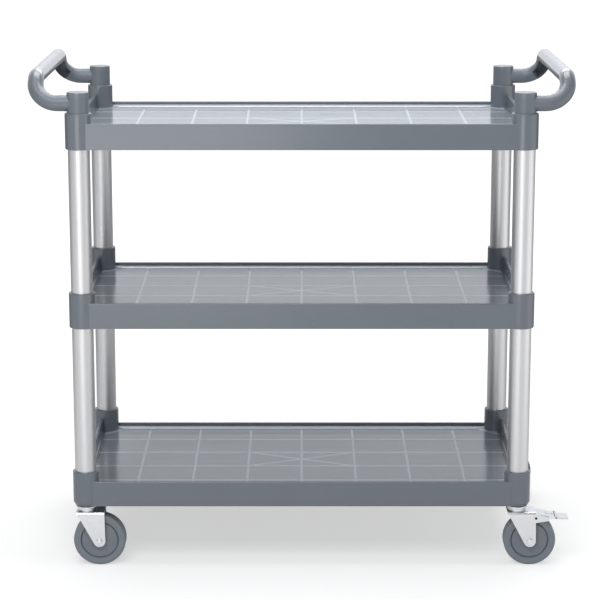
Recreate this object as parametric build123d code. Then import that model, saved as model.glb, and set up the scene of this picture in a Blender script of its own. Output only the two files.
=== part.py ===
"""Service cart: three moulded trays on aluminium posts, two end handles and four swivel casters.

Millimetres, +Z up. The origin is on the ground under the middle of the cart, +X runs along its length
and -Y is the side with the high tray lip.
"""
import os
from math import cos, radians, sin, tan

from build123d import *

# Layout of the posts and the trays
POST_PITCH_X = 830.0
POST_PITCH_Y = 450.0
BAY_PITCH_LOWER = 350.0
BAY_PITCH_UPPER = 340.0

# Posts and the collars that hold them
TUBE_D = 41.0
TUBE_WALL = 1.5
SOCKET_CLEARANCE = 0.15
COLLAR_WALL = 4.35
COLLAR_HEIGHT = 67.0
COLLAR_EDGE_R = 1.5
COLLAR_FOOT_CHAMFER = 3.5
COLLAR_FOOT_CHAMFER_HEIGHT = 6.0
SOCKET_DEPTH = 30.0
BOTTOM_POST_SOCKET_DEPTH = 20.0
CASTER_SOCKET_DEPTH = 38.0
STOP_RING_WIDTH = 4.5

# Trays
TRAY_END_OVERHANG = 12.0
TRAY_SIDE_OVERHANG = 20.0
LIP_HEIGHT = 49.0
LOW_LIP_HEIGHT = 30.0
LIP_THICKNESS = 6.0
LIP_EDGE_R = 2.2
FLOOR_HEIGHT = 21.0
FLOOR_THICKNESS = 3.0
FLOOR_COVE_R = 5.0
SKIRT_THICKNESS = 4.0
RIB_PITCH_X = 107.0
RIB_PITCH_Y = 100.0
RIB_THICKNESS = 2.5
RIB_DEPTH = 10.0

# Handles
PLUG_CLEARANCE = 0.15
PLUG_RISE = 39.0
PLUG_WALL = 3.5
PLUG_EDGE_R = 1.5
ARM_D = 30.0
ARM_LIFT = 18.0
BAR_STANDOFF = 55.0
ARM_BEND_R = 43.0
BAR_BEND_R = 22.0
LEAN_ANGLE = 54.6
LEAN_STRAIGHT = 0.87
GRIP_WALL = 3.0
GRIP_OPENING_START = 0.45

# Casters, measured from the swivel axis and the ground
WHEEL_D = 100.0
TYRE_WIDTH = 30.0
TYRE_INNER_D = 74.0
TYRE_SHOULDER_R = 5.0
TYRE_SIDE_INSET = 1.0
HUB_FACE_D = 68.0
HUB_FACE_WIDTH = 24.0
HUB_WEB_WIDTH = 18.0
HUB_BOSS_D = 22.0
AXLE_D = 8.0
AXLE_HEAD_D = 11.0
AXLE_HEAD_HEIGHT = 3.0
AXLE_NUT_ACROSS_FLATS = 13.0
AXLE_NUT_HEIGHT = 4.0
BUSH_WALL = 2.0
TRAIL = 25.0
FORK_THICKNESS = 2.5
FORK_GAP = 38.0
FORK_BEND_R = 4.0
FORK_LEG_FRONT = 19.0
FORK_LEG_REAR = 35.5
FORK_BOSS_R = 11.5
CROWN_TOP = 108.0
RUNNING_CLEARANCE = 0.05
FACE_CLEARANCE = 0.4
STEM_D = 11.0
STEM_LENGTH_IN_INSERT = 32.0
STEM_HEAD_D = 17.0
STEM_HEAD_HEIGHT = 3.0
RACE_D = 39.0
RACE_SKIRT_D = 35.0
RACE_SKIRT_WALL = 2.0
RACE_PLATE_HEIGHT = 4.85
BALL_D = 5.0
BALL_CIRCLE_D = 24.0
BALL_COUNT = 12
INSERT_PROUD = 2.0

# Brakes, measured from the swivel axis and the ground, or along the pedal from its pivot
PEDAL_PIVOT_X = 36.0
PEDAL_PIVOT_Z = 96.0
PEDAL_TRAVEL = 7.0
PEDAL_SLOPE = 8.6
PEDAL_THICKNESS = 1.5
PEDAL_SIDE_CLEARANCE = 0.6
PEDAL_CHEEK_R = 5.5
PEDAL_TOP = 6.9
PEDAL_HEEL = 2.0
PEDAL_LENGTH = 38.5
PEDAL_TIP_HEIGHT = 3.0
PEDAL_SLOT_START = 17.5
PEDAL_SLOT_LENGTH = 15.0
PEDAL_SLOT_WIDTH = 5.0
ROLL_R = 3.2
TONGUE_LENGTH = 18.0
TONGUE_WIDTH = 20.0
CAP_START = 3.7
CAP_LENGTH = 20.0
CAP_WIDTH = 30.0
CAP_HEIGHT = 3.8
CAP_EDGE_R = 1.0
CAP_CLEARANCE = 0.1
EAR_REACH = 61.0
EAR_TIP_TOP = 98.5
EAR_TIP_BOTTOM = 90.8
EAR_TIP_R = 3.0
EAR_ROOT_BOTTOM = 86.7
EAR_ROOT_TOP_X = 8.0
RIVET_D = 5.0
RIVET_RECESS = 0.5
SHOE_START = 8.5
SHOE_LENGTH = 12.0
SHOE_WIDTH = 24.0
SHOE_GAP_APPLIED = 0.7

# Sizes that follow from the driving ones
POST_X = POST_PITCH_X / 2
POST_Y = POST_PITCH_Y / 2
TUBE_R = TUBE_D / 2
SOCKET_R = TUBE_R + SOCKET_CLEARANCE
COLLAR_R = SOCKET_R + COLLAR_WALL
TRAY_HALF_LENGTH = POST_X + TRAY_END_OVERHANG
TRAY_HALF_WIDTH = POST_Y + TRAY_SIDE_OVERHANG
WHEEL_R = WHEEL_D / 2
FORK_HALF_WIDTH = FORK_GAP / 2 + FORK_THICKNESS
PEDAL_HALF_WIDTH = FORK_GAP / 2 - PEDAL_SIDE_CLEARANCE
RACE_CEILING = CROWN_TOP + BALL_D + 3 * RUNNING_CLEARANCE
INSERT_BOTTOM = RACE_CEILING + RACE_PLATE_HEIGHT
BOTTOM_TRAY_Z = INSERT_BOTTOM + INSERT_PROUD
MIDDLE_TRAY_Z = BOTTOM_TRAY_Z + BAY_PITCH_LOWER
TOP_TRAY_Z = MIDDLE_TRAY_Z + BAY_PITCH_UPPER
HANDLE_SEAT_Z = TOP_TRAY_Z + COLLAR_HEIGHT - SOCKET_DEPTH
LEAN_LENGTH = ARM_BEND_R + LEAN_STRAIGHT + BAR_BEND_R * tan(radians(LEAN_ANGLE / 2))
BAR_RISE = LEAN_LENGTH * sin(radians(LEAN_ANGLE))
BAR_LEAN = LEAN_LENGTH * cos(radians(LEAN_ANGLE))
BAR_X = POST_X + COLLAR_R + BAR_STANDOFF

CORNERS = {
    "front_left": (-POST_X, -POST_Y),
    "front_right": (POST_X, -POST_Y),
    "rear_left": (-POST_X, POST_Y),
    "rear_right": (POST_X, POST_Y),
}
BRAKED_CORNERS = ("front_right", "rear_left")


def block(x_range, y_range, z_range):
    """A box between two limits on each axis."""
    size = [high - low for low, high in (x_range, y_range, z_range)]
    return Pos(x_range[0], y_range[0], z_range[0]) * Box(*size, align=(Align.MIN,) * 3)


def rod(radius, z_low, z_high):
    """A round bar on the Z axis between two heights."""
    return Pos(0, 0, z_low) * Cylinder(radius, z_high - z_low, align=(Align.CENTER, Align.CENTER, Align.MIN))


def tube(outer_radius, inner_radius, z_low, z_high):
    """A round tube on the Z axis between two heights."""
    return rod(outer_radius, z_low, z_high) - rod(inner_radius, z_low, z_high)


def along_y(shape):
    """Turns a shape made on the Z axis so that it lies along Y."""
    return Rot(-90, 0, 0) * shape


def on_side_plane(sketch, y_low, y_high):
    """Extrudes a sketch, drawn with X and Z as its axes, from one Y to another."""
    plane = Plane(origin=(0, y_high, 0), x_dir=(1, 0, 0), z_dir=(0, -1, 0))
    return extrude(plane * sketch, amount=y_high - y_low)


def collar_blank(chamfered_foot):
    """The outside of one corner collar, standing on its tray's underside."""
    blank = rod(COLLAR_R, 0, COLLAR_HEIGHT)
    top_edge = blank.edges().sort_by(Axis.Z)[-1]
    blank = fillet(top_edge, COLLAR_EDGE_R)
    foot_edge = blank.edges().filter_by(GeomType.CIRCLE).sort_by(Axis.Z)[0]
    if chamfered_foot:
        foot_face = blank.faces().sort_by(Axis.Z)[0]
        return chamfer(foot_edge, COLLAR_FOOT_CHAMFER, COLLAR_FOOT_CHAMFER_HEIGHT, reference=foot_face)
    return fillet(foot_edge, COLLAR_EDGE_R)


def tray_shell():
    """The tray without its collars: lip, floor, skirt and the ribs under the floor."""
    length, width = TRAY_HALF_LENGTH, TRAY_HALF_WIDTH
    shell = block((-length, length), (-width, width), (0, LIP_HEIGHT))
    inner_length, inner_width = length - LIP_THICKNESS, width - LIP_THICKNESS
    basin = block((-inner_length, inner_length), (-inner_width, inner_width), (FLOOR_HEIGHT, 2 * LIP_HEIGHT))
    floor_edges = basin.edges().filter_by(Plane.XY).group_by(Axis.Z)[0]
    shell -= fillet(floor_edges, FLOOR_COVE_R)
    low_lip_half_length = POST_X - LIP_THICKNESS
    shell -= block(
        (-low_lip_half_length, low_lip_half_length),
        (inner_width - LIP_THICKNESS, width + LIP_THICKNESS),
        (LOW_LIP_HEIGHT, 2 * LIP_HEIGHT),
    )
    crest = shell.edges().filter_by(Axis.Y).group_by(Axis.Z)[-1].filter_by(lambda e: e.length > width)
    crest += shell.edges().filter_by(Axis.X).group_by(Axis.Z)[-1].filter_by(lambda e: e.length > length)
    low_crest = shell.edges().filter_by(Axis.X).filter_by_position(Axis.Z, LOW_LIP_HEIGHT, LOW_LIP_HEIGHT)
    shell = fillet(crest + low_crest, LIP_EDGE_R)
    hollow_length, hollow_width = length - SKIRT_THICKNESS, width - SKIRT_THICKNESS
    ceiling = FLOOR_HEIGHT - FLOOR_THICKNESS
    shell -= block((-hollow_length, hollow_length), (-hollow_width, hollow_width), (0, ceiling))
    cross_count = int(hollow_length // RIB_PITCH_X)
    for step in range(-cross_count, cross_count + 1):
        x = step * RIB_PITCH_X
        shell += block(
            (x - RIB_THICKNESS / 2, x + RIB_THICKNESS / 2),
            (-hollow_width, hollow_width),
            (ceiling - RIB_DEPTH, ceiling),
        )
    long_count = int((hollow_width + RIB_PITCH_Y / 2) // RIB_PITCH_Y)
    for step in range(-long_count, long_count):
        y = (step + 0.5) * RIB_PITCH_Y
        shell += block(
            (-hollow_length, hollow_length),
            (y - RIB_THICKNESS / 2, y + RIB_THICKNESS / 2),
            (ceiling - RIB_DEPTH, ceiling),
        )
    return shell


def make_shelf(tray_z, lower_depth, upper_depth, chamfered_foot):
    """One tray with its four collars, bored from both ends down to a stop ring."""
    shelf = tray_shell()
    stop_hole_r = SOCKET_R - STOP_RING_WIDTH
    bores = rod(SOCKET_R, 0, lower_depth) + rod(stop_hole_r, 0, COLLAR_HEIGHT)
    bores += rod(SOCKET_R, COLLAR_HEIGHT - upper_depth, COLLAR_HEIGHT)
    for x, y in CORNERS.values():
        shelf += Pos(x, y, 0) * collar_blank(chamfered_foot)
    for x, y in CORNERS.values():
        shelf -= Pos(x, y, 0) * bores
    return Pos(0, 0, tray_z) * shelf


def make_post(corner, z_low, z_high):
    """One aluminium tube, seated on the stop rings of the trays below and above it."""
    return Pos(*CORNERS[corner], 0) * tube(TUBE_R, TUBE_R - TUBE_WALL, z_low, z_high)


def grip_path():
    """The handle's centre line, on the +X end, from the front plug over the bar to the rear plug."""
    arm_z = TOP_TRAY_Z + COLLAR_HEIGHT + ARM_LIFT
    bar_y, bar_z = POST_Y - BAR_LEAN, arm_z + BAR_RISE
    points = [
        (POST_X, -POST_Y, arm_z),
        (BAR_X, -POST_Y, arm_z),
        (BAR_X, -bar_y, bar_z),
        (BAR_X, bar_y, bar_z),
        (BAR_X, POST_Y, arm_z),
        (POST_X, POST_Y, arm_z),
    ]
    return FilletPolyline(*points, radius=[ARM_BEND_R, BAR_BEND_R, BAR_BEND_R, ARM_BEND_R])


def grip_opening(path):
    """The channel under the bar, from inside one arm's bend to inside the other's."""
    edges = path.edges()
    stretch = [edges[1].trim(GRIP_OPENING_START, 1), *edges[2:-2], edges[-2].trim(0, 1 - GRIP_OPENING_START)]
    route = Wire(stretch)
    lean = Vector(0, BAR_LEAN, BAR_RISE).normalized()
    under = lean.cross(Vector(1, 0, 0))
    ahead = route.tangent_at(0)
    start = Plane(origin=route.position_at(0), x_dir=under.cross(ahead), z_dir=ahead)
    inner_r = ARM_D / 2 - GRIP_WALL
    section = Circle(inner_r) + Pos(0, ARM_D / 2) * Rectangle(2 * inner_r, ARM_D)
    return sweep(start * section, path=route)


def make_handle(side):
    """One end handle: two hollow plugs for the top collars, two arms and a bar that is open underneath."""
    path = grip_path()
    start = Plane(origin=path.position_at(0), z_dir=path.tangent_at(0))
    handle = sweep(start * Circle(ARM_D / 2), path=path)
    handle -= grip_opening(path)
    plug_r = SOCKET_R - PLUG_CLEARANCE
    plug_top = TOP_TRAY_Z + COLLAR_HEIGHT + PLUG_RISE
    plug = rod(plug_r, HANDLE_SEAT_Z, plug_top)
    plug = fillet(plug.edges().sort_by(Axis.Z)[-1], PLUG_EDGE_R)
    core = rod(plug_r - PLUG_WALL, HANDLE_SEAT_Z, plug_top - PLUG_WALL)
    for y in (-POST_Y, POST_Y):
        handle += Pos(POST_X, y, 0) * plug
    for y in (-POST_Y, POST_Y):
        handle -= Pos(POST_X, y, 0) * core
    return handle if side > 0 else mirror(handle, about=Plane.YZ)


def make_insert():
    """The black plug in the bottom collar, bored for the caster's stem."""
    insert = rod(TUBE_R, INSERT_BOTTOM, BOTTOM_TRAY_Z + CASTER_SOCKET_DEPTH)
    bore_top = INSERT_BOTTOM + STEM_LENGTH_IN_INSERT + FACE_CLEARANCE
    return insert - rod(STEM_D / 2 + RUNNING_CLEARANCE, INSERT_BOTTOM, bore_top)


def make_stem():
    """The steel stem, pressed in the insert and headed over under the fork's crown."""
    head_top = CROWN_TOP - FORK_THICKNESS - FACE_CLEARANCE
    stem = rod(STEM_D / 2, head_top, INSERT_BOTTOM + STEM_LENGTH_IN_INSERT)
    return stem + rod(STEM_HEAD_D / 2, head_top - STEM_HEAD_HEIGHT, head_top)


def make_race():
    """The upper ball race: a plate against the insert, with a skirt around the balls."""
    race = tube(RACE_D / 2, STEM_D / 2 + RUNNING_CLEARANCE, RACE_CEILING, INSERT_BOTTOM)
    rim = race.edges().filter_by(GeomType.CIRCLE).filter_by(lambda e: e.radius > STEM_D)
    race = fillet(rim, RACE_PLATE_HEIGHT / 4)
    skirt_r = RACE_SKIRT_D / 2
    return race + tube(skirt_r, skirt_r - RACE_SKIRT_WALL, CROWN_TOP + FACE_CLEARANCE, RACE_CEILING)


def make_balls():
    """The ring of balls between the crown and the upper race."""
    height = CROWN_TOP + BALL_D / 2 + RUNNING_CLEARANCE
    turns = [360 * index / BALL_COUNT for index in range(BALL_COUNT)]
    balls = [Rot(0, 0, turn) * Pos(BALL_CIRCLE_D / 2, 0, height) * Sphere(BALL_D / 2) for turn in turns]
    return Compound(children=balls)


def leg_outline():
    """One fork leg from the side: a straight top edge drawn in to the round boss on the axle."""
    top = Line((-FORK_LEG_FRONT, CROWN_TOP), (FORK_LEG_REAR, CROWN_TOP))
    boss = Pos(TRAIL, WHEEL_R) * Edge.make_circle(FORK_BOSS_R)
    return make_hull([top, boss])


def ear_outline():
    """The stretch of a braked fork's leg that carries the pedal's rivet."""
    corners = [
        (0, CROWN_TOP),
        (EAR_ROOT_TOP_X, CROWN_TOP),
        (EAR_REACH, EAR_TIP_TOP),
        (EAR_REACH, EAR_TIP_BOTTOM),
        (FORK_LEG_REAR, EAR_ROOT_BOTTOM),
        (0, EAR_ROOT_BOTTOM),
    ]
    ear = make_face(Polyline(*corners, close=True))
    return fillet(ear.vertices().group_by(Axis.X)[-1], EAR_TIP_R)


def make_fork(braked):
    """The pressed steel fork: a crown, two bent-down legs and, where braked, two ears."""
    outer = Rectangle(2 * FORK_HALF_WIDTH, 2 * CROWN_TOP)
    outer = fillet(outer.vertices(), FORK_BEND_R)
    inner = Rectangle(FORK_GAP, 2 * (CROWN_TOP - FORK_THICKNESS))
    inner = fillet(inner.vertices(), FORK_BEND_R - FORK_THICKNESS)
    channel_plane = Plane(origin=(-FORK_LEG_FRONT, 0, 0), x_dir=(0, 1, 0), z_dir=(1, 0, 0))
    reach = EAR_REACH if braked else FORK_LEG_REAR + FORK_BOSS_R
    channel = extrude(channel_plane * (outer - inner), amount=FORK_LEG_FRONT + reach)
    outline = leg_outline()
    if braked:
        outline += ear_outline()
    fork = channel & on_side_plane(outline, -FORK_HALF_WIDTH, FORK_HALF_WIDTH)
    fork -= rod(STEM_D / 2 + RUNNING_CLEARANCE, 0, CROWN_TOP)
    fork -= at_axle(rod(AXLE_D / 2 + RUNNING_CLEARANCE, -FORK_HALF_WIDTH, FORK_HALF_WIDTH))
    if braked:
        rivet_hole = along_y(rod(RIVET_D / 2 + RUNNING_CLEARANCE, -FORK_HALF_WIDTH, FORK_HALF_WIDTH))
        fork -= Pos(PEDAL_PIVOT_X, 0, PEDAL_PIVOT_Z) * rivet_hole
    return fork


def at_axle(shape):
    """Lays a shape made on the Z axis along the wheel's axle."""
    return Pos(TRAIL, 0, WHEEL_R) * along_y(shape)


def make_axle():
    """The axle bolt, with a round head in front of the fork and a thin nut behind it."""
    bolt = rod(AXLE_D / 2, -FORK_HALF_WIDTH, FORK_HALF_WIDTH + AXLE_NUT_HEIGHT)
    head = rod(AXLE_HEAD_D / 2, -FORK_HALF_WIDTH - AXLE_HEAD_HEIGHT, -FORK_HALF_WIDTH)
    head = fillet(head.edges().sort_by(Axis.Z)[0], AXLE_HEAD_HEIGHT / 2)
    nut_outline = RegularPolygon(AXLE_NUT_ACROSS_FLATS / 2, 6, major_radius=False)
    nut = Pos(0, 0, FORK_HALF_WIDTH) * extrude(nut_outline, amount=AXLE_NUT_HEIGHT)
    return at_axle(bolt + head + nut)


def make_bush():
    """The spacer tube between the fork's legs that the wheel turns on."""
    inner_r = AXLE_D / 2 + RUNNING_CLEARANCE
    return at_axle(tube(inner_r + BUSH_WALL, inner_r, -FORK_GAP / 2, FORK_GAP / 2))


def ring_section(points):
    """Spins an outline of (radius, height) points around the Z axis."""
    outline = make_face(Polyline(*[(radius, 0, height) for radius, height in points], close=True))
    return revolve(outline, Axis.Z)


def make_wheel_core():
    """The wheel's hub: a long boss on the bush, a thick disc and a thinner rim under the tyre."""
    bore_r = AXLE_D / 2 + BUSH_WALL + 2 * RUNNING_CLEARANCE
    boss_half = FORK_GAP / 2 - FACE_CLEARANCE
    face_half, web_half = HUB_FACE_WIDTH / 2, HUB_WEB_WIDTH / 2
    half = [
        (bore_r, boss_half),
        (HUB_BOSS_D / 2, boss_half),
        (HUB_BOSS_D / 2, face_half),
        (HUB_FACE_D / 2, face_half),
        (HUB_FACE_D / 2, web_half),
        (TYRE_INNER_D / 2, web_half),
    ]
    return at_axle(ring_section(half + [(radius, -height) for radius, height in reversed(half)]))


def make_tyre():
    """The grey tread ring, with rounded shoulders and slightly hollow sides."""
    half_width = TYRE_WIDTH / 2
    inner_half = half_width - TYRE_SIDE_INSET
    outline = [
        (TYRE_INNER_D / 2, -inner_half),
        (WHEEL_R - TYRE_SHOULDER_R, -half_width),
        (WHEEL_R, -half_width),
        (WHEEL_R, half_width),
        (WHEEL_R - TYRE_SHOULDER_R, half_width),
        (TYRE_INNER_D / 2, inner_half),
    ]
    tyre = ring_section(outline)
    shoulders = tyre.edges().filter_by(lambda e: e.geom_type == GeomType.CIRCLE and e.radius > WHEEL_R - 1e-3)
    return at_axle(fillet(shoulders, TYRE_SHOULDER_R - TYRE_SIDE_INSET))


def on_pedal(shape):
    """Places a shape made along the pedal, with its pivot at the origin, where the released pedal is."""
    return Pos(PEDAL_PIVOT_X, 0, PEDAL_PIVOT_Z) * Rot(0, PEDAL_SLOPE, 0) * shape


def on_tip(shape):
    """Places a shape made from the pedal's roll, which it leaves level, where the released pedal is."""
    roll_middle = Pos(PEDAL_LENGTH, 0, PEDAL_TOP - PEDAL_THICKNESS / 2)
    return on_pedal(roll_middle * Rot(0, -PEDAL_SLOPE, 0) * shape)


def make_pedal():
    """The brake pedal: a slotted sheet channel hung on two rivets, with a rolled end and a tongue."""
    top = Line((-PEDAL_HEEL, PEDAL_TOP), (PEDAL_LENGTH, PEDAL_TOP))
    tip = Line((PEDAL_LENGTH, PEDAL_TOP), (PEDAL_LENGTH, PEDAL_TOP - PEDAL_TIP_HEIGHT))
    outline = make_hull([top, tip, Edge.make_circle(PEDAL_CHEEK_R)])
    channel = on_side_plane(outline, -PEDAL_HALF_WIDTH, PEDAL_HALF_WIDTH)
    plate_under = PEDAL_TOP - PEDAL_THICKNESS
    inner_half = PEDAL_HALF_WIDTH - PEDAL_THICKNESS
    channel -= block(
        (-PEDAL_CHEEK_R, PEDAL_LENGTH),
        (-inner_half, inner_half),
        (-PEDAL_CHEEK_R, plate_under),
    )
    slot = extrude(SlotOverall(PEDAL_SLOT_LENGTH, PEDAL_SLOT_WIDTH), amount=2 * PEDAL_THICKNESS)
    channel -= Pos(PEDAL_SLOT_START + PEDAL_SLOT_LENGTH / 2, 0, plate_under - PEDAL_THICKNESS / 2) * slot
    channel -= along_y(rod(RIVET_D / 2 + RUNNING_CLEARANCE, -PEDAL_HALF_WIDTH, PEDAL_HALF_WIDTH))
    roll = along_y(rod(ROLL_R, -PEDAL_HALF_WIDTH, PEDAL_HALF_WIDTH))
    roll_hole = along_y(rod(ROLL_R - PEDAL_THICKNESS, -PEDAL_HALF_WIDTH, PEDAL_HALF_WIDTH))
    return on_pedal(channel) + on_tip(roll) + on_tip(tongue_block(0)) - on_tip(roll_hole)


def tongue_block(clearance):
    """The tongue that the cap sits on, grown all round by a clearance."""
    half = TONGUE_WIDTH / 2 + clearance
    low, high = -ROLL_R - clearance, -ROLL_R + PEDAL_THICKNESS + clearance
    return block((0, ROLL_R + TONGUE_LENGTH + clearance), (-half, half), (low, high))


def make_pedal_cap():
    """The light plastic cap on the pedal's tongue."""
    half, middle = CAP_WIDTH / 2, -ROLL_R + PEDAL_THICKNESS / 2
    low, high = middle - CAP_HEIGHT / 2, middle + CAP_HEIGHT / 2
    cap = block((CAP_START, CAP_START + CAP_LENGTH), (-half, half), (low, high))
    cap = fillet(cap.edges(), CAP_EDGE_R)
    return on_tip(cap - tongue_block(CAP_CLEARANCE))


def make_brake_shoe():
    """The black block under the pedal, hollowed so that it meets the tyre when the pedal is down."""
    half, plate_under = SHOE_WIDTH / 2, PEDAL_TOP - PEDAL_THICKNESS
    low = WHEEL_R - PEDAL_PIVOT_Z
    shoe = block((SHOE_START, SHOE_START + SHOE_LENGTH), (-half, half), (low, plate_under))
    tyre_space = along_y(rod(WHEEL_R + SHOE_GAP_APPLIED, -half, half))
    wheel_offset = Pos(TRAIL - PEDAL_PIVOT_X, 0, WHEEL_R - PEDAL_PIVOT_Z)
    shoe -= Rot(0, -PEDAL_SLOPE - PEDAL_TRAVEL, 0) * wheel_offset * tyre_space
    return on_pedal(shoe)


def make_pivot_rivets():
    """The two short rivets that join the fork's ears to the pedal's cheeks."""
    inner, outer = PEDAL_HALF_WIDTH - PEDAL_THICKNESS, FORK_HALF_WIDTH - RIVET_RECESS
    rivets = [along_y(rod(RIVET_D / 2, *ends)) for ends in ((-outer, -inner), (inner, outer))]
    return Compound(children=[Pos(PEDAL_PIVOT_X, 0, PEDAL_PIVOT_Z) * rivet for rivet in rivets])


def caster_pieces(braked):
    """Every piece of one caster, with its swivel axis on the Z axis."""
    pieces = {
        "insert": make_insert(),
        "stem": make_stem(),
        "race": make_race(),
        "balls": make_balls(),
        "fork": make_fork(braked),
        "axle": make_axle(),
        "bush": make_bush(),
        "wheel_core": make_wheel_core(),
        "tyre": make_tyre(),
    }
    if braked:
        pieces["pedal"] = make_pedal()
        pieces["pedal_cap"] = make_pedal_cap()
        pieces["brake_shoe"] = make_brake_shoe()
        pieces["pivot_rivets"] = make_pivot_rivets()
    return pieces


def cart_pieces():
    """Every piece of the cart by name, in its place."""
    pieces = {
        "shelf_bottom": make_shelf(BOTTOM_TRAY_Z, CASTER_SOCKET_DEPTH, BOTTOM_POST_SOCKET_DEPTH, True),
        "shelf_middle": make_shelf(MIDDLE_TRAY_Z, SOCKET_DEPTH, SOCKET_DEPTH, False),
        "shelf_top": make_shelf(TOP_TRAY_Z, SOCKET_DEPTH, SOCKET_DEPTH, False),
        "handle_left": make_handle(-1),
        "handle_right": make_handle(1),
    }
    lower_seats = BOTTOM_TRAY_Z + COLLAR_HEIGHT - BOTTOM_POST_SOCKET_DEPTH, MIDDLE_TRAY_Z + SOCKET_DEPTH
    upper_seats = MIDDLE_TRAY_Z + COLLAR_HEIGHT - SOCKET_DEPTH, TOP_TRAY_Z + SOCKET_DEPTH
    for corner, place in CORNERS.items():
        pieces[f"post_lower_{corner}"] = make_post(corner, *lower_seats)
        pieces[f"post_upper_{corner}"] = make_post(corner, *upper_seats)
        for name, piece in caster_pieces(corner in BRAKED_CORNERS).items():
            pieces[f"{name}_{corner}"] = Pos(*place, 0) * piece
    return pieces


def main():
    """Writes every piece of the cart to its own file."""
    os.makedirs("parts", exist_ok=True)
    for name, piece in cart_pieces().items():
        export_step(piece, f"parts/{name}.step")


if __name__ == "__main__":
    main()
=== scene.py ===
"""Dresses a packed service cart: a finish for each moulding and fitting, hatched tray floors and a studio."""

import bpy
import numpy as np
from bpy.props import FloatProperty, FloatVectorProperty, IntProperty, PointerProperty
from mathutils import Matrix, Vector


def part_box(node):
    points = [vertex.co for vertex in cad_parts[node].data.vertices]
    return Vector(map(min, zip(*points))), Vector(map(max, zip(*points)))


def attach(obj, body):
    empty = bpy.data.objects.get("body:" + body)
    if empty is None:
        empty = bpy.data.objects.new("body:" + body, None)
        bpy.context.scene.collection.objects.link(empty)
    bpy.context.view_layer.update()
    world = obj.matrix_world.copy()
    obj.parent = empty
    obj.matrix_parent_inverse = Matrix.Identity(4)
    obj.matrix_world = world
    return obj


bl_info = {
    "name": "Service Cart",
    "version": (1, 0, 0),
    "blender": (4, 5, 0),
    "location": "View3D > Sidebar > Cart",
    "description": "Finishes and fine detail for a three-tray service cart",
    "category": "Object",
}

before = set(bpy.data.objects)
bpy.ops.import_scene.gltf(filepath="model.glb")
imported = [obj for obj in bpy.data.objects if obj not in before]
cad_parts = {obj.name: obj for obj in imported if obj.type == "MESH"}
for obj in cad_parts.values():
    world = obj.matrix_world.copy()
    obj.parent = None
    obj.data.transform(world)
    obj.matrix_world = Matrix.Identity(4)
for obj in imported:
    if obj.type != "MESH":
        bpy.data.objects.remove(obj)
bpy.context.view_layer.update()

MM = 0.001
CORNERS = ("front_left", "front_right", "rear_left", "rear_right")
BRAKED_CORNERS = ("front_right", "rear_left")
TRAYS = ("top", "middle", "bottom")

POLYPROPYLENE_IOR = 1.49
# A Mix node repeats its sockets' names for each type of data, so the ones for colour go by number.
MIX_FACTOR, MIX_FIRST, MIX_SECOND, MIX_RESULT = 0, 6, 7, 2
# A wave texture of scale 1 has a band every pi / 10.
WAVE_BAND = np.pi / 10
# Straight steps in the round of a tyre's lip.
LIP_STEPS = 96
# Half widths of a floor line at its foot and its top, as shares of its width.
LINE_FOOT, LINE_TOP = 0.5, 0.46
# Rise of a cross line, and what a long line and a slanting one add to it, as shares of the panels' rise.
# Lines that cross differ a little in height, so that no two tops share a plane.
CROSS_RISE, LONG_RISE, SLANT_RISE = 1.2, 0.3, 0.2


def linear(hex_code):
    """Turns an sRGB hex colour into linear values, by the standard's straight toe and 2.4 power."""
    srgb = np.array([int(hex_code[start:start + 2], 16) for start in (1, 3, 5)]) / 255
    return tuple(np.where(srgb <= 0.04045, srgb / 12.92, ((srgb + 0.055) / 1.055) ** 2.4).tolist())


def colour_property(name, description, hex_code):
    """A colour that a user may change."""
    return FloatVectorProperty(name=name, description=description, subtype="COLOR", default=linear(hex_code))


def length_property(name, description, millimetres):
    """A length that a user may change, given in millimetres and kept in metres."""
    return FloatProperty(name=name, description=description, default=millimetres * MM, unit="LENGTH")


class CartColours(bpy.types.PropertyGroup):
    """Colours of the cart's materials."""
    plastic: colour_property("Grey plastic", "Trays and handles", "#727981")
    # Paler than the panels as a painted sheen: the smooth lines and border are the same plastic and only
    # shine more at a low angle.
    line: colour_property("Floor lines", "Smooth lines and border of the tray floors", "#B0B8C2")
    panel: colour_property("Floor panels", "Hatched panels of the tray floors", "#868D94")
    aluminium: colour_property("Aluminium", "Posts", "#C8C8C9")
    zinc: colour_property("Zinc plate", "Forks, stems, bushes and races", "#D4D6D9")
    bright_zinc: colour_property("Bright zinc plate", "Pedals and axles", "#DADCDF")
    balls: colour_property("Bearing steel", "Balls of the casters", "#DADADC")
    rivets: colour_property("Dark plate", "Rivets of the brakes", "#2A2A2C")
    tyre: colour_property("Tyre", "Tread of the wheels", "#7D868D")
    hub: colour_property("Hub", "Wheel hubs", "#7A8189")
    insert: colour_property("Insert", "Caster inserts", "#1B1D20")
    shoe: colour_property("Brake shoe", "Rubber shoes of the brakes", "#141415")
    cap: colour_property("Pedal cap", "Caps on the brake pedals", "#ECEEEE")


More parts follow.
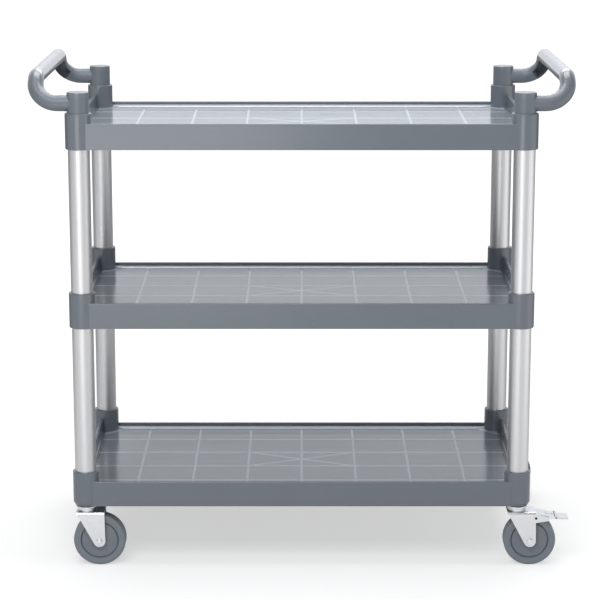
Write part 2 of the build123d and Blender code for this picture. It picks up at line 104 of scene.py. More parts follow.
class CartSizes(bpy.types.PropertyGroup):
    """Sizes of the pattern on the tray floors, the polish on the handles and the lips of the tyres."""
    floor_height: length_property("Floor height", "Tray floor above the tray's foot", 21)
    cross_lines: IntProperty(
        name="Cross lines", description="How many lines run from side to side", default=7)
    long_lines: IntProperty(
        name="Long lines", description="How many lines run from end to end", default=4)
    column_pitch: length_property("Column pitch", "From one cross line to the next", 107)
    row_pitch: length_property("Row pitch", "From one long line to the next", 95)
    half_length: length_property("Half length", "From the middle to the pattern's end", 415)
    half_width: length_property("Half width", "From the middle to the pattern's side", 222)
    corner_cut: length_property("Corner cut", "Plain corner in front of a collar", 46)
    floor_length: length_property("Floor length", "From the middle to the foot of an end wall", 415.5)
    floor_width: length_property("Floor width", "From the middle to the foot of a side wall", 235.5)
    border_rise: length_property("Border rise", "Outer edge of the border above the floor", 2.8)
    line_width: length_property("Cross line width", "Smooth line from side to side", 5.2)
    long_line_width: length_property("Long line width", "Smooth line from end to end", 8)
    panel_rise: length_property("Panel rise", "Panels and lines above the floor", 0.15)
    hatch_pitch: length_property("Hatch pitch", "From one hatch groove to the next", 5.5)
    dish_width: length_property("Dish width", "Strip along the low lip where the panels turn up", 42)
    dish_rise: length_property("Dish rise", "How far the panels turn up there", 3)
    polish_start: length_property("Polish start", "Height where the handles' polish starts", 905)
    polish_full: length_property("Polish full", "Height where the handles' polish is full", 940)
    tyre_lip_radius: length_property("Tyre lip radius", "Where the tyre's side meets its inner lip", 37)
    tyre_lip_offset: length_property("Tyre lip offset", "From the wheel's middle to the tyre's side", 14)
    tyre_lip_sink: length_property("Tyre lip sink", "How far the lip starts below the tyre's side", 0.44)
    tyre_lip_width: length_property("Tyre lip width", "How far the lip reaches in towards the hub", 2)
    tyre_lip_depth: length_property("Tyre lip depth", "How far the lip falls from where it starts", 4.4)


class CartStage(bpy.types.PropertyGroup):
    """The camera and the floor."""
    camera_place: FloatVectorProperty(
        name="Camera", description="Where the camera stands", default=(-0.0032, -4.1607, 1.3919),
        subtype="TRANSLATION", unit="LENGTH")
    camera_tilt: FloatProperty(
        name="Tilt", description="How far the camera looks down", default=0.2176, subtype="ANGLE",
        unit="ROTATION")
    lens: FloatProperty(
        name="Lens", description="Focal length on a 36 mm sensor", default=127.95, unit="CAMERA")
    floor_size: IntProperty(
        name="Floor", description="Side of the floor in metres", default=160)


def add_node(tree, kind, links=None, **settings):
    """Adds a node; settings are its own fields, and links gives each input a socket or a value."""
    node = tree.nodes.new("ShaderNode" + kind)
    for field, value in settings.items():
        setattr(node, field, value)
    for name, value in (links or {}).items():
        if isinstance(value, bpy.types.NodeSocket):
            tree.links.new(value, node.inputs[name])
        else:
            node.inputs[name].default_value = value
    return node


def start_material(name, **values):
    """A new material and its tree, shader and Object coordinates, with constants set on the shader."""
    material = bpy.data.materials.new(name)
    material.use_nodes = True
    tree = material.node_tree
    shader = tree.nodes["Principled BSDF"]
    for socket, value in values.items():
        shader.inputs[socket.replace("_", " ")].default_value = value
    return material, tree, shader, add_node(tree, "TexCoord").outputs["Object"]


def per(size):
    """Texture scale that gives one repeat in this many metres."""
    return 1 / size


def rgba(colour, share=1.0):
    """A property's colour, darkened or lightened by a share, as the four values of a socket."""
    return (*[channel * share for channel in colour], 1.0)


def vary(tree, shader, pattern, colour=None, spread=0.0, roughness=None):
    """Lets a pattern move the colour by a share to either side, and the roughness from smooth to dull."""
    if colour is not None:
        shade = add_node(
            tree, "Mix",
            {MIX_FACTOR: pattern, MIX_FIRST: rgba(colour, 1 - spread), MIX_SECOND: rgba(colour, 1 + spread)},
            data_type="RGBA")
        tree.links.new(shade.outputs[MIX_RESULT], shader.inputs["Base Color"])
    if roughness is not None:
        smooth, dull = roughness
        gloss = add_node(tree, "MapRange", {"Value": pattern, "To Min": smooth, "To Max": dull})
        tree.links.new(gloss.outputs["Result"], shader.inputs["Roughness"])


def moulded_polypropylene(name, colours):
    """Injection-moulded polypropylene straight from a polished tool.

    It gives the eye an even cool grey with a soft sheen, faint flow clouds a hand wide, and reflections
    that waver a little where the walls have shrunk over the ribs.
    """
    material, tree, shader, place = start_material(name, IOR=POLYPROPYLENE_IOR)
    clouds = add_node(tree, "TexNoise", {"Vector": place, "Scale": per(90 * MM), "Detail": 3.0})
    vary(tree, shader, clouds.outputs["Fac"], colours.plastic, spread=0.05, roughness=(0.17, 0.25))
    shrink = add_node(tree, "TexNoise", {"Vector": place, "Scale": per(55 * MM), "Detail": 0.0})
    wave = add_node(
        tree, "Bump", {"Height": shrink.outputs["Fac"], "Strength": 1.0, "Distance": 0.03 * MM})
    # The tool's grain is about 0.3 mm; it is drawn at 1.6 mm so that it shows.
    grain = add_node(tree, "TexNoise", {"Vector": place, "Scale": per(1.6 * MM), "Detail": 1.0})
    skin = add_node(
        tree, "Bump",
        {"Height": grain.outputs["Fac"], "Strength": 0.5, "Distance": 0.008 * MM,
         "Normal": wave.outputs["Normal"]})
    tree.links.new(skin.outputs["Normal"], shader.inputs["Normal"])
    return material


def polished_polypropylene(name, colours, sizes):
    """Polypropylene handles with a satin skin, polished where hands take hold of the bars.

    It gives the eye grey arms with a soft streak, and bars that turn almost white when they are seen end-on.
    """
    material, tree, shader, place = start_material(
        name, IOR=POLYPROPYLENE_IOR, Coat_Roughness=0.3, Coat_IOR=1.7)
    height = add_node(tree, "SeparateXYZ", {"Vector": place}).outputs["Z"]
    climb = {"Value": height, "From Min": sizes.polish_start, "From Max": sizes.polish_full}
    grip = add_node(tree, "MapRange", {**climb, "To Min": 0.0, "To Max": 1.0})
    tree.links.new(grip.outputs["Result"], shader.inputs["Coat Weight"])
    clouds = add_node(tree, "TexNoise", {"Vector": place, "Scale": per(60 * MM), "Detail": 3.0})
    vary(tree, shader, clouds.outputs["Fac"], colours.plastic, spread=0.05)
    # The roughness falls towards the bar, and the clouds add up to 0.08 to it.
    worn = add_node(tree, "MapRange", {**climb, "To Min": 0.34, "To Max": 0.16})
    sheen = add_node(
        tree, "Math", {0: clouds.outputs["Fac"], 1: 0.08, 2: worn.outputs["Result"]},
        operation="MULTIPLY_ADD")
    tree.links.new(sheen.outputs["Value"], shader.inputs["Roughness"])
    shrink = add_node(tree, "TexNoise", {"Vector": place, "Scale": per(40 * MM), "Detail": 0.0})
    wave = add_node(
        tree, "Bump", {"Height": shrink.outputs["Fac"], "Strength": 1.0, "Distance": 0.03 * MM})
    tree.links.new(wave.outputs["Normal"], shader.inputs["Normal"])
    return material


def hatched_polypropylene(name, colours, sizes):
    """The same polypropylene, moulded against a tool cut with fine grooves along the tray and across it.

    It gives the eye a glossy floor that draws reflections out towards the viewer, with faint streaks where
    the melt ran along the tray, and a fine hatch up close.
    """
    material, tree, shader, place = start_material(name, IOR=POLYPROPYLENE_IOR, Roughness=0.14)
    stretch = add_node(
        tree, "Mapping", {"Vector": place, "Scale": (per(220 * MM), per(20 * MM), per(220 * MM))})
    streaks = add_node(tree, "TexNoise", {"Vector": stretch.outputs["Vector"], "Scale": 1.0, "Detail": 3.0})
    vary(tree, shader, streaks.outputs["Fac"], colours.panel, spread=0.06)
    # The panels turn up a little along the side with the low lip.
    depth = add_node(tree, "SeparateXYZ", {"Vector": place}).outputs["Y"]
    rise = add_node(
        tree, "MapRange",
        {"Value": depth, "From Min": sizes.half_width - sizes.dish_width, "From Max": sizes.half_width})
    dish = add_node(
        tree, "Bump", {"Height": rise.outputs["Result"], "Strength": 1.0, "Distance": sizes.dish_rise})
    relief = add_node(
        tree, "Bump",
        {"Height": streaks.outputs["Fac"], "Strength": 1.0, "Distance": 0.6 * MM,
         "Normal": dish.outputs["Normal"]})
    # The tool's grooves are 2 to 3 mm apart; they are drawn at the hatch pitch so that they show.
    bands = WAVE_BAND * per(sizes.hatch_pitch)
    for direction, groove_depth in (("X", 0.02 * MM), ("Y", 0.05 * MM)):
        grooves = add_node(tree, "TexWave", {"Vector": place, "Scale": bands}, bands_direction=direction)
        relief = add_node(
            tree, "Bump",
            {"Height": grooves.outputs["Fac"], "Strength": 1.0, "Distance": groove_depth,
             "Normal": relief.outputs["Normal"]})
    tree.links.new(relief.outputs["Normal"], shader.inputs["Normal"])
    return material


def scuffed_polypropylene(name, colours):
    """The same polypropylene where goods slide over it: lines and border, a hair above the floor.

    It gives the eye smooth stripes with fine scuffs, that shine at a low angle; their colour is painted paler
    than the hatched panels' to stand in for that sheen.
    """
    material, tree, shader, place = start_material(name, IOR=POLYPROPYLENE_IOR)
    scuffs = add_node(tree, "TexNoise", {"Vector": place, "Scale": per(30 * MM), "Detail": 4.0})
    # The pale line colour is a painted sheen; the scuffs move it a little either way.
    vary(tree, shader, scuffs.outputs["Fac"], colours.line, spread=0.08, roughness=(0.10, 0.16))
    # The scratches are about 0.1 mm wide; they are drawn at 1 mm so that they show.
    scratches = add_node(tree, "TexNoise", {"Vector": place, "Scale": per(1.0 * MM), "Detail": 2.0})
    skin = add_node(
        tree, "Bump", {"Height": scratches.outputs["Fac"], "Strength": 0.5, "Distance": 0.01 * MM})
    tree.links.new(skin.outputs["Normal"], shader.inputs["Normal"])
    return material


def drawn_aluminium(name, colour):
    """Aluminium tube drawn through a die and left satin.

    It gives the eye a pale metal with broad soft bands, and fine lines that run along the tube.
    """
    material, tree, shader, place = start_material(name, Metallic=1.0, Base_Color=rgba(colour))
    # Die lines are about 0.2 mm apart; they are drawn at 1.2 mm so that they show.
    stretch = add_node(
        tree, "Mapping", {"Vector": place, "Scale": (per(1.2 * MM), per(1.2 * MM), per(160 * MM))})
    lines = add_node(tree, "TexNoise", {"Vector": stretch.outputs["Vector"], "Scale": 1.0, "Detail": 2.0})
    vary(tree, shader, lines.outputs["Fac"], roughness=(0.40, 0.48))
    ridges = add_node(
        tree, "Bump", {"Height": lines.outputs["Fac"], "Strength": 0.1, "Distance": 0.03 * MM})
    tree.links.new(ridges.outputs["Normal"], shader.inputs["Normal"])
    return material


def zinc_plated_steel(name, colour, roughness):
    """Steel with a bright zinc plate.

    It gives the eye a light blue-white metal, with soft patches that are smoother or duller.
    """
    material, tree, shader, place = start_material(name, Metallic=1.0, Base_Color=rgba(colour))
    patches = add_node(tree, "TexNoise", {"Vector": place, "Scale": per(16 * MM), "Detail": 3.0})
    vary(tree, shader, patches.outputs["Fac"], roughness=roughness)
    press = add_node(
        tree, "Bump", {"Height": patches.outputs["Fac"], "Strength": 0.3, "Distance": 0.05 * MM})
    tree.links.new(press.outputs["Normal"], shader.inputs["Normal"])
    return material


def polished_bearing_steel(name, colour):
    """Hardened steel balls, ground and polished.

    They give the eye small sharp points of light with hardly any blur.
    """
    material, tree, shader, place = start_material(name, Metallic=1.0, Base_Color=rgba(colour))
    lap = add_node(tree, "TexNoise", {"Vector": place, "Scale": per(1.5 * MM), "Detail": 2.0})
    vary(tree, shader, lap.outputs["Fac"], roughness=(0.06, 0.14))
    return material


def dark_plated_steel(name, colour):
    """Rivets with a dark passivated plate.

    They give the eye a dark metal with a soft shine.
    """
    material, tree, shader, place = start_material(name, Metallic=1.0, Base_Color=rgba(colour))
    film = add_node(tree, "TexNoise", {"Vector": place, "Scale": per(2 * MM), "Detail": 2.0})
    vary(tree, shader, film.outputs["Fac"], roughness=(0.30, 0.45))
    return material


def dull_moulding(name, colour, roughness, grain_size, grain_depth):
    """A small moulding with an even colour: cloudy by a few percent and finely grained.

    Nylon hubs, rubber treads and shoes, and black or white plastic differ here in gloss and grain only.
    """
    material, tree, shader, place = start_material(name, IOR=1.5)
    clouds = add_node(tree, "TexNoise", {"Vector": place, "Scale": per(16 * MM), "Detail": 4.0})
    gloss_spread = 0.06
    gloss = (roughness - gloss_spread, roughness + gloss_spread)
    vary(tree, shader, clouds.outputs["Fac"], colour, spread=0.08, roughness=gloss)
    grain = add_node(tree, "TexNoise", {"Vector": place, "Scale": per(grain_size), "Detail": 2.0})
    skin = add_node(
        tree, "Bump", {"Height": grain.outputs["Fac"], "Strength": 0.5, "Distance": grain_depth})
    tree.links.new(skin.outputs["Normal"], shader.inputs["Normal"])
    return material


def finish(make, name, *values, **settings):
    """The material of this name, made the first time it is asked for."""
    return bpy.data.materials.get(name) or make(name, *values, **settings)


def bright_zinc(colours):
    """The smoother zinc plate of axles and pedals."""
    return finish(
        zinc_plated_steel, "bright_zinc_plated_steel", colours.bright_zinc, roughness=(0.14, 0.34))


def coat(material, kinds, corners=("",)):
    """Gives one material to every slot of the named CAD nodes, at each corner."""
    for kind in kinds:
        for corner in corners:
            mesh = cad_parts["_".join(filter(None, (kind, corner)))].data
            mesh.materials.clear()
            mesh.materials.append(material)


def put_piece(name, points, faces, material, body):
    """Makes a mesh piece at the origin from arrays of points and faces, and lets it ride on a body."""
    mesh = bpy.data.meshes.new(name)
    mesh.from_pydata(points.tolist(), [], faces)
    mesh.validate()
    mesh.materials.append(material)
    piece = bpy.data.objects.new(name, mesh)
    bpy.context.scene.collection.objects.link(piece)
    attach(piece, body)


def inset(corners, distance):
    """Moves each side of a convex outline inwards, and meets neighbouring sides again at new corners."""
    sides = np.roll(corners, -1, axis=0) - corners
    inward = np.stack([-sides[:, 1], sides[:, 0]], axis=1) / np.linalg.norm(sides, axis=1)[:, None]
    before = np.roll(inward, 1, axis=0)
    return corners + distance * (before + inward) / (1 + np.sum(before * inward, axis=1))[:, None]


def stacked_faces(first, layers, count):
    """Faces that join layers of so many points, from a first point on, and close both ends of the stack."""
    step = np.arange(count)
    after = np.roll(step, -1)
    low = first + count * np.arange(layers - 1)[:, None]
    high = low + count
    sides = np.stack([low + step, low + after, high + after, high + step], axis=2).reshape(-1, 4)
    last = first + count * (layers - 1)
    return [*sides.tolist(), (first + step[::-1]).tolist(), (last + step).tolist()]


def closed_grid_faces(rows, columns):
    """Faces of a grid of points that closes on itself both ways, as a ring with a closed profile does."""
    row = columns * np.arange(rows)[:, None]
    next_row = np.roll(row, -1, axis=0)
    step = np.arange(columns)
    after = np.roll(step, -1)
    return np.stack([row + step, next_row + step, next_row + after, row + after], axis=2).reshape(-1, 4)


def line_places(sizes):
    """Where the cross lines lie along the tray, and the long lines across it: evenly about the middle."""
    patterns = ((sizes.cross_lines, sizes.column_pitch), (sizes.long_lines, sizes.row_pitch))
    return [pitch * (np.arange(count) - (count - 1) / 2) for count, pitch in patterns]


def star_outlines(cell):
    """Triangles from the middle of the tray to three sides of a cell; the fourth runs through the middle."""
    middle = np.zeros(2)
    sides = zip(cell, np.roll(cell, -1, axis=0))
    return [np.array([start, end, middle]) for start, end in sides if np.any((start[0], end[0]))]


def cut_outline(cell, index, cut):
    """A cell with one corner cut off, by the same length along both of its sides."""
    neighbours = (cell[index - 1], cell[(index + 1) % len(cell)])
    ends = [cell[index] + cut * np.sign(neighbour - cell[index]) for neighbour in neighbours]
    return np.concatenate([cell[:index], ends, cell[index + 1:]])


def panel_outlines(sizes):
    """The outlines between the floor's lines: a grid, with cut corners and a star in its middle cells."""
    across, along = line_places(sizes)
    columns = np.concatenate([[-sizes.half_length], across, [sizes.half_length]])
    rows = np.concatenate([[-sizes.half_width], along, [sizes.half_width]])
    outlines = []
    for left, right in zip(columns[:-1], columns[1:]):
        for low, high in zip(rows[:-1], rows[1:]):
            cell = np.array([(left, low), (right, low), (right, high), (left, high)])
            outermost = np.all(np.abs(cell) == (sizes.half_length, sizes.half_width), axis=1)
            if np.all(np.abs(cell) <= (sizes.column_pitch, sizes.row_pitch)):
                outlines += star_outlines(cell)
            elif outermost.any():
                outlines.append(cut_outline(cell, int(np.argmax(outermost)), sizes.corner_cut))
            else:
                outlines.append(cell)
    return outlines


def raised_panels(outlines, floor_z, sizes):
    """Low pads on a floor: each outline carried up a small bevel, closed above and below."""
    # How far in and how high each step of the bevel is, as shares of its width and its rise.
    profile = ((0.0, 0.0), (0.0, 0.5), (0.5, 1.0))
    bevel_width = sizes.line_width / 4
    points, faces = [], []
    first = 0
    for outline in outlines:
        count = len(outline)
        foot = inset(outline, sizes.line_width / 2)
        for inward, up in profile:
            level = np.full((count, 1), floor_z + up * sizes.panel_rise)
            points.append(np.hstack([inset(foot, inward * bevel_width), level]))
        faces += stacked_faces(first, len(profile), count)
        first += len(profile) * count
    return np.concatenate(points), faces


def line_ends(sizes):
    """Start and end of every line: those of the grid, and the two diagonals of the star."""
    across, along = line_places(sizes)
    side = np.full(across.shape, sizes.half_width)
    end = np.full(along.shape, sizes.half_length)
    star = np.array([(sizes.column_pitch, sizes.row_pitch / 2), (sizes.column_pitch, -sizes.row_pitch / 2)])
    starts = np.concatenate([np.stack([across, -side], axis=1), np.stack([-end, along], axis=1), -star])
    ends = np.concatenate([np.stack([across, side], axis=1), np.stack([end, along], axis=1), star])
    return starts, ends


def flat_lines(starts, ends, floor_z, sizes):
    """Low strips on a floor: a trapezoid carried along straight lines and closed all round."""
    profile = np.array([(LINE_FOOT, 0.0), (LINE_TOP, 1.0), (-LINE_TOP, 1.0), (-LINE_FOOT, 0.0)])
    run = (ends - starts) / np.linalg.norm(ends - starts, axis=1)[:, None]
    lengthwise = np.abs(run[:, 0])
    width = sizes.line_width + lengthwise * (sizes.long_line_width - sizes.line_width)
    slant = run[:, 0] * run[:, 1]
    rise = sizes.panel_rise * (CROSS_RISE + LONG_RISE * lengthwise + SLANT_RISE * slant)
    left = np.stack([-run[:, 1], run[:, 0]], axis=1)
    lines = np.stack([starts, ends], axis=1)
    sideways = width[:, None] * profile[:, 0]
    flat = lines[:, :, None, :] + left[:, None, None, :] * sideways[:, None, :, None]
    height = np.broadcast_to(floor_z + rise[:, None, None] * profile[:, 1], flat.shape[:3])
    points = np.concatenate([flat, height[..., None]], axis=3).reshape(-1, 3)
    count = len(profile)
    faces = []
    for index in range(len(starts)):
        faces += stacked_faces(2 * count * index, 2, count)
    return points, faces


def floor_border(floor_z, sizes):
    """The plain border: a ring from the panels' cut-cornered outline to the foot of the walls.

    It rises a little towards the side walls, and has a flat foot on the floor.
    """
    signs = np.array([(1, 1), (-1, 1), (-1, -1), (1, -1)])
    length, width, cut = sizes.half_length, sizes.half_width, sizes.corner_cut
    near_end, near_side = np.array([(length, width - cut)]), np.array([(length - cut, width)])
    nick = sizes.panel_rise
    far_end = np.array([(sizes.floor_length, sizes.floor_width - nick)])
    far_side = np.array([(sizes.floor_length - nick, sizes.floor_width)])
    rings = []
    for end, side in ((near_end, near_side), (far_end, far_side)):
        corners = np.stack([end * signs, side * signs], axis=1)
        corners[1::2] = corners[1::2, ::-1]
        rings.append(corners.reshape(-1, 2))
    inner, outer = rings
    at_side = np.abs(outer[:, 1]) == sizes.floor_width
    # The profile goes from the inner top to the outer top, and back along the floor.
    flat = np.stack([inner, outer, outer, inner])
    rises = np.zeros(flat.shape[:2])
    rises[0] = sizes.panel_rise
    rises[1] = np.where(at_side, sizes.border_rise, sizes.panel_rise)
    points = np.concatenate([flat, (floor_z + rises)[..., None]], axis=2).reshape(-1, 3)
    return points, closed_grid_faces(*rises.shape).tolist()


class CART_OT_trays(bpy.types.Operator):
    """Finishes the three trays and lays the hatched panels and the smooth lines on their floors"""
    bl_idname = "cart.trays"
    bl_label = "Trays"

    def execute(self, context):
        colours, sizes = context.scene.cart_colours, context.scene.cart_sizes
        plastic = finish(moulded_polypropylene, "moulded_polypropylene", colours)
        coat(plastic, [f"shelf_{tray}" for tray in TRAYS])
        hatched = finish(hatched_polypropylene, "hatched_polypropylene", colours, sizes)
        # Lines and border: fine scuffs, and a paler colour that paints their sheen.
        sheen_and_scuffs = finish(scuffed_polypropylene, "scuffed_polypropylene", colours)
        outlines = panel_outlines(sizes)
        starts, ends = line_ends(sizes)
        for tray in TRAYS:
            floor_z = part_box(f"shelf_{tray}")[0].z + sizes.floor_height
            points, faces = raised_panels(outlines, floor_z, sizes)
            put_piece(f"floor_panels_{tray}", points, faces, hatched, "frame")
            points, faces = flat_lines(starts, ends, floor_z, sizes)
            put_piece(f"floor_lines_{tray}", points, faces, sheen_and_scuffs, "frame")
            points, faces = floor_border(floor_z, sizes)
            put_piece(f"floor_border_{tray}", points, faces, sheen_and_scuffs, "frame")
        return {"FINISHED"}


class CART_OT_posts(bpy.types.Operator):
    """Finishes the eight aluminium posts"""
    bl_idname = "cart.posts"
    bl_label = "Posts"

    def execute(self, context):
        tube = finish(drawn_aluminium, "drawn_satin_aluminium", context.scene.cart_colours.aluminium)
        coat(tube, ("post_lower", "post_upper"), CORNERS)
        return {"FINISHED"}


class CART_OT_handles(bpy.types.Operator):
    """Finishes the two end handles"""
    bl_idname = "cart.handles"
    bl_label = "Handles"

    def execute(self, context):
        colours, sizes = context.scene.cart_colours, context.scene.cart_sizes
        polished = finish(polished_polypropylene, "polished_polypropylene", colours, sizes)
        coat(polished, ("handle_left", "handle_right"))
        return {"FINISHED"}


def tyre_lips(middle, sizes):
    """The tyre's sloping inner lip on both sides: a triangle turned around the axle, long side to the hub."""
    outer = sizes.tyre_lip_radius
    top = sizes.tyre_lip_offset - sizes.tyre_lip_sink
    foot = top - sizes.tyre_lip_depth
    radius = np.array([outer, outer - sizes.tyre_lip_width, outer])
    offset = np.array([foot, foot, top])
    turns = 2 * np.pi * np.arange(LIP_STEPS)[:, None] / LIP_STEPS
    across = radius * np.cos(turns)
    up = radius * np.sin(turns)
    near = np.stack([across, np.broadcast_to(-offset, across.shape), up], axis=2).reshape(-1, 3)
    far = near * (1, -1, 1)
    skin = closed_grid_faces(LIP_STEPS, len(radius))
    # The far lip mirrors the near one, so its faces run the other way round.
    faces = np.concatenate([skin, skin[:, ::-1] + len(near)])
    return np.concatenate([near, far]) + middle, faces.tolist()


class CART_OT_casters(bpy.types.Operator):
    """Finishes the four casters and slopes the inner lips of their tyres"""
    bl_idname = "cart.casters"
    bl_label = "Casters"

    def execute(self, context):
        colours = context.scene.cart_colours
        zinc = finish(zinc_plated_steel, "zinc_plated_pressed_steel", colours.zinc, roughness=(0.16, 0.44))
        coat(zinc, ("fork", "stem", "bush", "race"), CORNERS)
        coat(bright_zinc(colours), ("axle",), CORNERS)
        balls = finish(polished_bearing_steel, "polished_bearing_steel", colours.balls)
        coat(balls, ("balls",), CORNERS)
        insert = finish(
            dull_moulding, "moulded_black_nylon", colours.insert,
            roughness=0.42, grain_size=0.8 * MM, grain_depth=0.02 * MM)
        coat(insert, ("insert",), CORNERS)
        hub = finish(
            dull_moulding, "moulded_grey_nylon", colours.hub,
            roughness=0.40, grain_size=1.0 * MM, grain_depth=0.02 * MM)
        coat(hub, ("wheel_core",), CORNERS)
        tyre = finish(
            dull_moulding, "moulded_grey_rubber", colours.tyre,
            roughness=0.52, grain_size=1.2 * MM, grain_depth=0.04 * MM)
        coat(tyre, ("tyre",), CORNERS)
        for corner in CORNERS:
            middle = np.mean([list(limit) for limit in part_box(f"tyre_{corner}")], axis=0)
            points, faces = tyre_lips(middle, context.scene.cart_sizes)
            put_piece(f"tyre_lips_{corner}", points, faces, tyre, f"wheel_{corner}")
        return {"FINISHED"}


class CART_OT_brakes(bpy.types.Operator):
    """Finishes the two foot brakes"""
    bl_idname = "cart.brakes"
    bl_label = "Brakes"

    def execute(self, context):
        colours = context.scene.cart_colours
        coat(bright_zinc(colours), ("pedal",), BRAKED_CORNERS)
        rivets = finish(dark_plated_steel, "dark_plated_steel", colours.rivets)
        coat(rivets, ("pivot_rivets",), BRAKED_CORNERS)
        cap = finish(
            dull_moulding, "moulded_white_plastic", colours.cap,
            roughness=0.35, grain_size=0.8 * MM, grain_depth=0.01 * MM)
        coat(cap, ("pedal_cap",), BRAKED_CORNERS)
        shoe = finish(
            dull_moulding, "moulded_black_rubber", colours.shoe,
            roughness=0.6, grain_size=1.0 * MM, grain_depth=0.05 * MM)
        coat(shoe, ("brake_shoe",), BRAKED_CORNERS)
        return {"FINISHED"}


def softbox(name, place, aim, size, watts):
    """A rectangular lamp at a place, turned so that it shines at another."""
    lamp = bpy.data.lights.new(name, "AREA")
    lamp.shape = "RECTANGLE"
    lamp.size, lamp.size_y = size
    lamp.energy = watts
    rig = bpy.data.objects.new(name, lamp)
    rig.location = place
    rig.rotation_euler = (Vector(aim) - Vector(place)).to_track_quat("-Z", "Y").to_euler()
    rig.visible_camera = False
    bpy.context.scene.collection.objects.link(rig)


def studio_floor():
    """A pale floor that keeps the shadow near the cart and fades to plain white further out.

    Metal sees the bright floor in front of the cart, and only the far end of the floor behind it. The
    limits of the ranges are metres from the middle of the cart.
    """
    material = bpy.data.materials.new("white_paper_floor")
    material.use_nodes = True
    tree = material.node_tree
    tree.nodes.clear()
    place = add_node(tree, "TexCoord").outputs["Object"]
    distance = add_node(tree, "VectorMath", {0: place}, operation="LENGTH").outputs["Value"]
    depth = add_node(tree, "SeparateXYZ", {"Vector": place}).outputs["Y"]
    glow = add_node(
        tree, "MapRange",
        {"Value": distance, "From Min": 0.9, "From Max": 3.5, "To Min": 0.55, "To Max": 1.0})
    far_glow = add_node(
        tree, "MapRange",
        {"Value": distance, "From Min": 8.0, "From Max": 20.0, "To Min": 0.0, "To Max": 1.0})
    front = add_node(
        tree, "MapRange",
        {"Value": depth, "From Min": -0.4, "From Max": 0.8, "To Min": 1.0, "To Max": 0.1})
    front_glow = add_node(
        tree, "Math", {0: glow.outputs["Result"], 1: front.outputs["Result"]}, operation="MULTIPLY")
    shown_glow = add_node(
        tree, "Math", {0: front_glow.outputs["Value"], 1: far_glow.outputs["Result"]}, operation="MAXIMUM")
    path = add_node(tree, "LightPath").outputs
    by_mirror = add_node(
        tree, "Math", {0: path["Is Glossy Ray"], 1: path["Is Transmission Ray"]}, operation="MAXIMUM")
    mirrored = add_node(
        tree, "Math", {0: shown_glow.outputs["Value"], 1: by_mirror.outputs["Value"]}, operation="MULTIPLY")
    strength = add_node(
        tree, "Math",
        {0: glow.outputs["Result"], 1: path["Is Camera Ray"], 2: mirrored.outputs["Value"]},
        operation="MULTIPLY_ADD")
    paper = add_node(tree, "BsdfDiffuse", {"Color": rgba(linear("#C6C6C6"))})
    shine = add_node(tree, "Emission", {"Strength": strength.outputs["Value"]})
    both = add_node(tree, "AddShader", {0: paper.outputs["BSDF"], 1: shine.outputs["Emission"]})
    add_node(tree, "OutputMaterial", {"Surface": both.outputs["Shader"]})
    return material


def studio_world():
    """A dim room that lights little, seen as plain white by the camera and as a white sweep by metal."""
    world = bpy.data.worlds.new("white_studio")
    world.use_nodes = True
    tree = world.node_tree
    tree.nodes.clear()
    path = add_node(tree, "LightPath").outputs
    heading = add_node(tree, "SeparateXYZ", {"Vector": add_node(tree, "TexCoord").outputs["Generated"]})
    # The white sweep behind the cart fills about 45 degrees to each side of straight back.
    sweep = add_node(
        tree, "MapRange", {"Value": heading.outputs["Y"], "From Min": 0.2, "From Max": 0.7},
        interpolation_type="SMOOTHSTEP")
    dim_room = add_node(tree, "Background", {"Color": rgba(linear("#F4F8FF")), "Strength": 0.2})
    cool_white = add_node(tree, "Background", {"Color": rgba(linear("#F7FAFF")), "Strength": 1.0})
    plain_white = add_node(tree, "Background", {"Color": rgba(linear("#FFFFFF")), "Strength": 1.0})
    mirrored = add_node(
        tree, "Math", {0: path["Is Glossy Ray"], 1: sweep.outputs["Result"]}, operation="MULTIPLY")
    room = add_node(
        tree, "MixShader",
        {0: mirrored.outputs["Value"], 1: dim_room.outputs["Background"],
         2: cool_white.outputs["Background"]})
    seen = add_node(
        tree, "Math", {0: path["Is Camera Ray"], 1: path["Is Transmission Ray"]}, operation="MAXIMUM")
    both = add_node(
        tree, "MixShader",
        {0: seen.outputs["Value"], 1: room.outputs["Shader"], 2: plain_white.outputs["Background"]})
    add_node(tree, "OutputWorld", {"Surface": both.outputs["Shader"]})
    return world


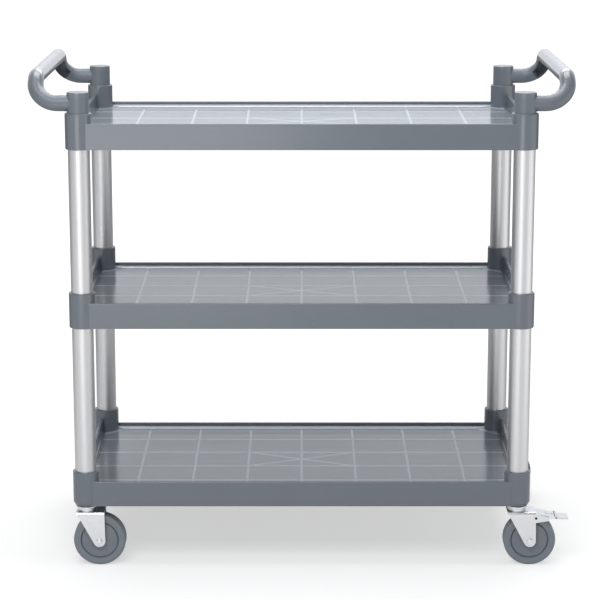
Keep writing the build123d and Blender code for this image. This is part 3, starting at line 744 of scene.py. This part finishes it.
class CART_OT_stage(bpy.types.Operator):
    """Sets the floor, the lamps, the world and the camera"""
    bl_idname = "cart.stage"
    bl_label = "Stage"

    def execute(self, context):
        scene, stage = context.scene, context.scene.cart_stage
        scene.view_settings.view_transform = "Standard"
        half = stage.floor_size / 2
        mesh = bpy.data.meshes.new("studio_floor")
        mesh.from_pydata(
            [(-half, -half, 0), (half, -half, 0), (half, half, 0), (-half, half, 0)], [], [(0, 1, 2, 3)])
        mesh.materials.append(studio_floor())
        floor = bpy.data.objects.new("studio_floor", mesh)
        scene.collection.objects.link(floor)
        softbox("key_softbox", place=(-0.55, -1.0, 1.5), aim=(-0.2, -0.1, 0.7), size=(0.7, 0.6), watts=0.8)
        softbox("strip_softbox", place=(-0.6, -2.3, 0.52), aim=(0, 0, 0.5), size=(1.2, 0.8), watts=8.5)
        softbox("front_softbox", place=(-0.5, -2.2, 2.5), aim=(-0.1, 0, 0.4), size=(2.0, 1.4), watts=36)
        softbox("top_softbox", place=(0.0, 0.2, 3.2), aim=(0, 0.1, 0.5), size=(2.4, 1.8), watts=50)
        softbox("rear_softbox", place=(0.3, 2.2, 2.6), aim=(0, 0, 0.4), size=(2.0, 1.2), watts=28)
        softbox("right_softbox", place=(1.7, -0.5, 0.6), aim=(0.4, -0.2, 0.55), size=(1.6, 1.1), watts=4.6)
        scene.world = studio_world()
        camera = bpy.data.cameras.new("photo_camera")
        camera.lens = stage.lens
        camera.clip_end = 2 * stage.floor_size
        view = bpy.data.objects.new("photo_camera", camera)
        view.location = stage.camera_place
        view.rotation_euler = (np.pi / 2 - stage.camera_tilt, 0, 0)
        scene.collection.objects.link(view)
        scene.camera = view
        return {"FINISHED"}


STEPS = (CART_OT_trays, CART_OT_posts, CART_OT_handles, CART_OT_casters, CART_OT_brakes, CART_OT_stage)


class CART_PT_steps(bpy.types.Panel):
    """Lists the steps that dress the cart, and the sizes and colours that they use."""
    bl_label = "Service Cart"
    bl_idname = "CART_PT_steps"
    bl_space_type = "VIEW_3D"
    bl_region_type = "UI"
    bl_category = "Cart"

    def draw(self, context):
        for group in (context.scene.cart_colours, context.scene.cart_sizes, context.scene.cart_stage):
            for name in group.__annotations__:
                self.layout.prop(group, name)
        for step in STEPS:
            self.layout.operator(step.bl_idname)


CLASSES = (CartColours, CartSizes, CartStage, *STEPS, CART_PT_steps)


def register():
    """Registers the classes and hangs the settings on the scene."""
    for item in CLASSES:
        bpy.utils.register_class(item)
    bpy.types.Scene.cart_colours = PointerProperty(type=CartColours)
    bpy.types.Scene.cart_sizes = PointerProperty(type=CartSizes)
    bpy.types.Scene.cart_stage = PointerProperty(type=CartStage)


def unregister():
    """Takes the settings and the classes away again."""
    del bpy.types.Scene.cart_stage
    del bpy.types.Scene.cart_sizes
    del bpy.types.Scene.cart_colours
    for item in reversed(CLASSES):
        bpy.utils.unregister_class(item)


def main():
    """Dresses the cart step by step."""
    register()
    bpy.ops.cart.trays()
    bpy.ops.cart.posts()
    bpy.ops.cart.handles()
    bpy.ops.cart.casters()
    bpy.ops.cart.brakes()
    bpy.ops.cart.stage()


if __name__ == "__main__":
    main()
